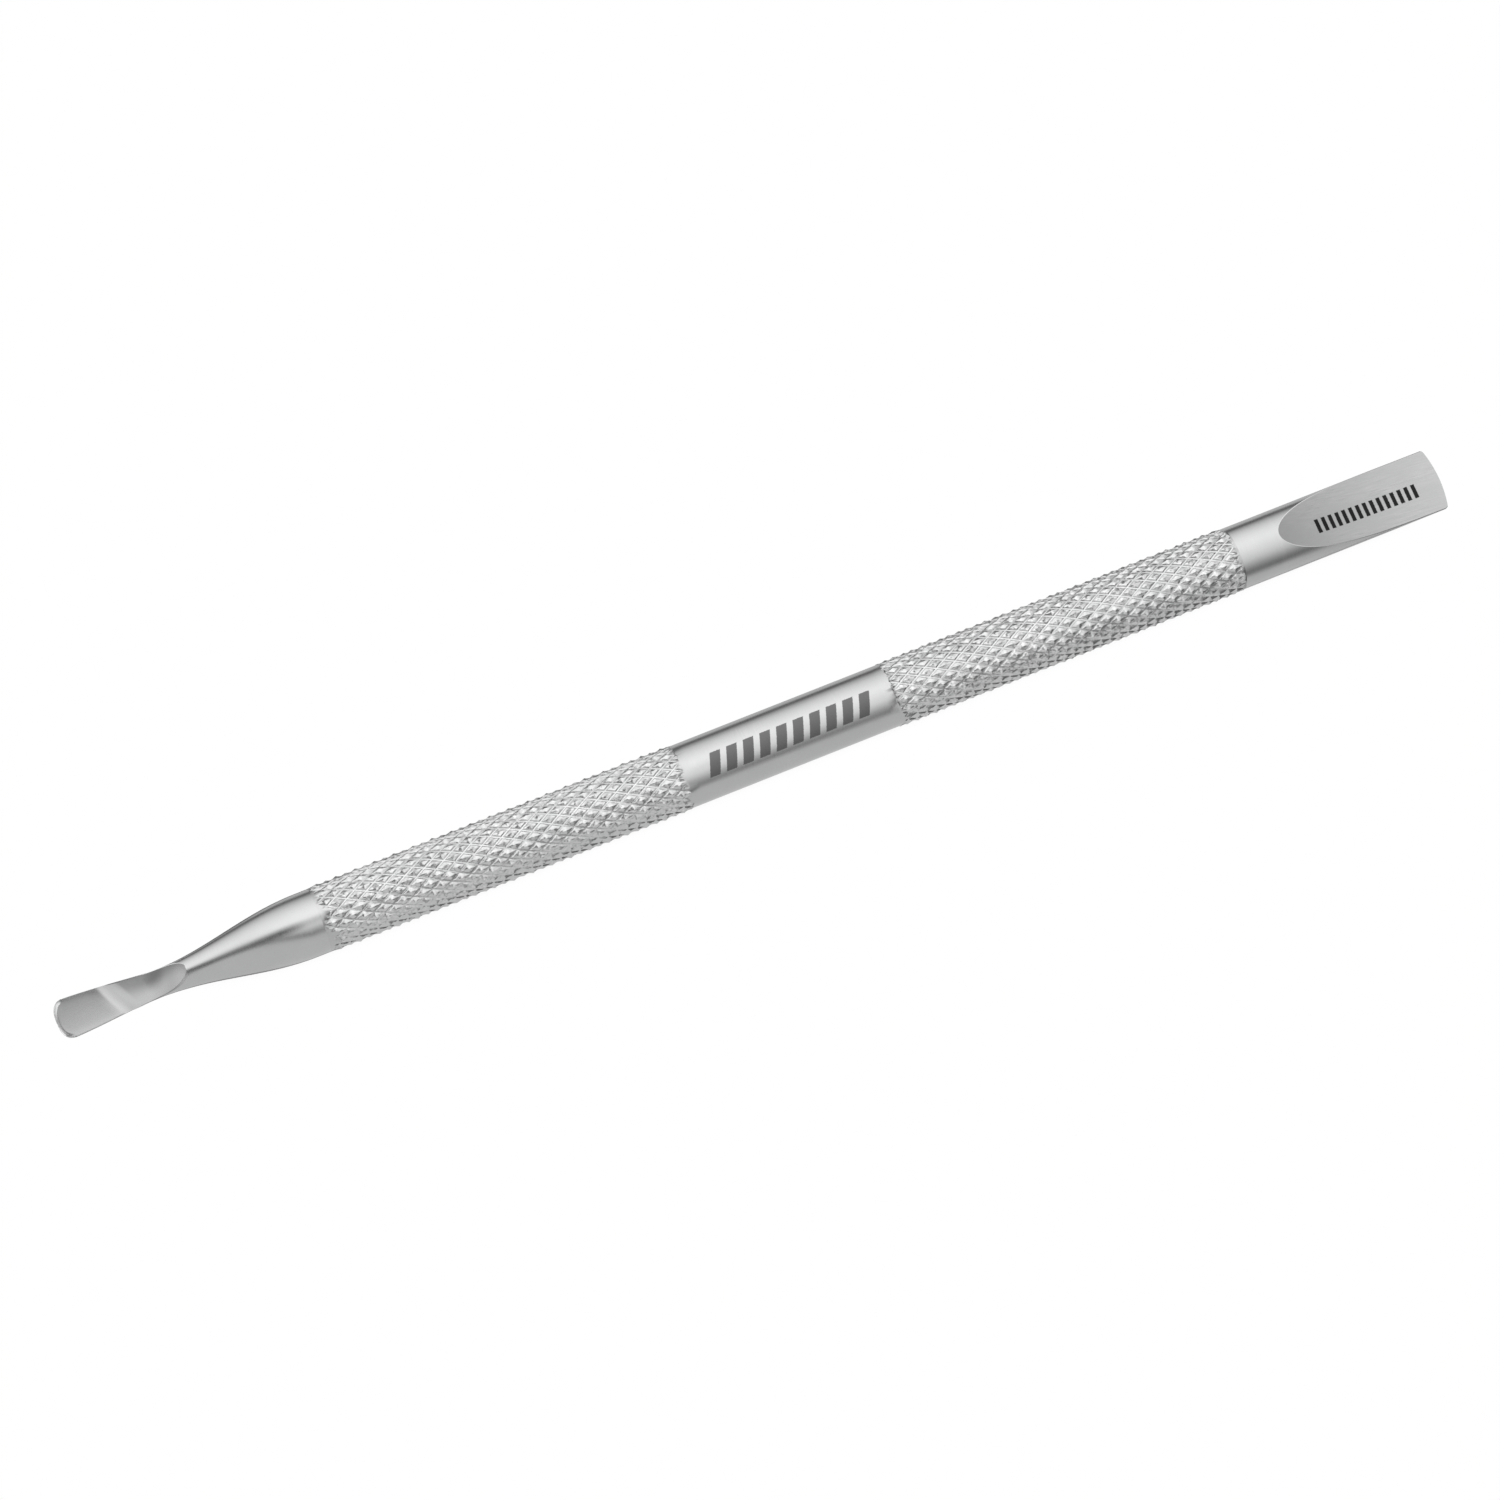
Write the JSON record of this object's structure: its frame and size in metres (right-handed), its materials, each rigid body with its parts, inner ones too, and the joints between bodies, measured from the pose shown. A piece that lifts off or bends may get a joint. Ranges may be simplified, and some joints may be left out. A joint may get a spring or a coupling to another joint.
{
  "type": "cuticle pusher",
  "caption": "Slim double-ended steel cuticle pusher with a cupped pusher blade, a diamond-knurled round handle with a plain middle band, and a flat hollow-ground cleaner blade.",
  "frame": {"origin": "on the bar's axis, at the middle of the plain band", "axes": "+X along the bar towards the cleaner end, +Z towards the side that the pusher blade's cupped face looks to"},
  "size_m": [0.1215, 0.0056, 0.0056],
  "materials": {
    "knurled_steel": "bright rolled diamond knurl, fine satin on the plain band",
    "satin_steel": "fine satin, polished around the taper",
    "brushed_steel": "satin collar, ground faces brushed along their length"
  },
  "bodies": {
    "root": {"handle": "knurled_steel", "pusher_tip": "satin_steel", "cleaner_tip": "brushed_steel"}
  },
  "joints": []
}
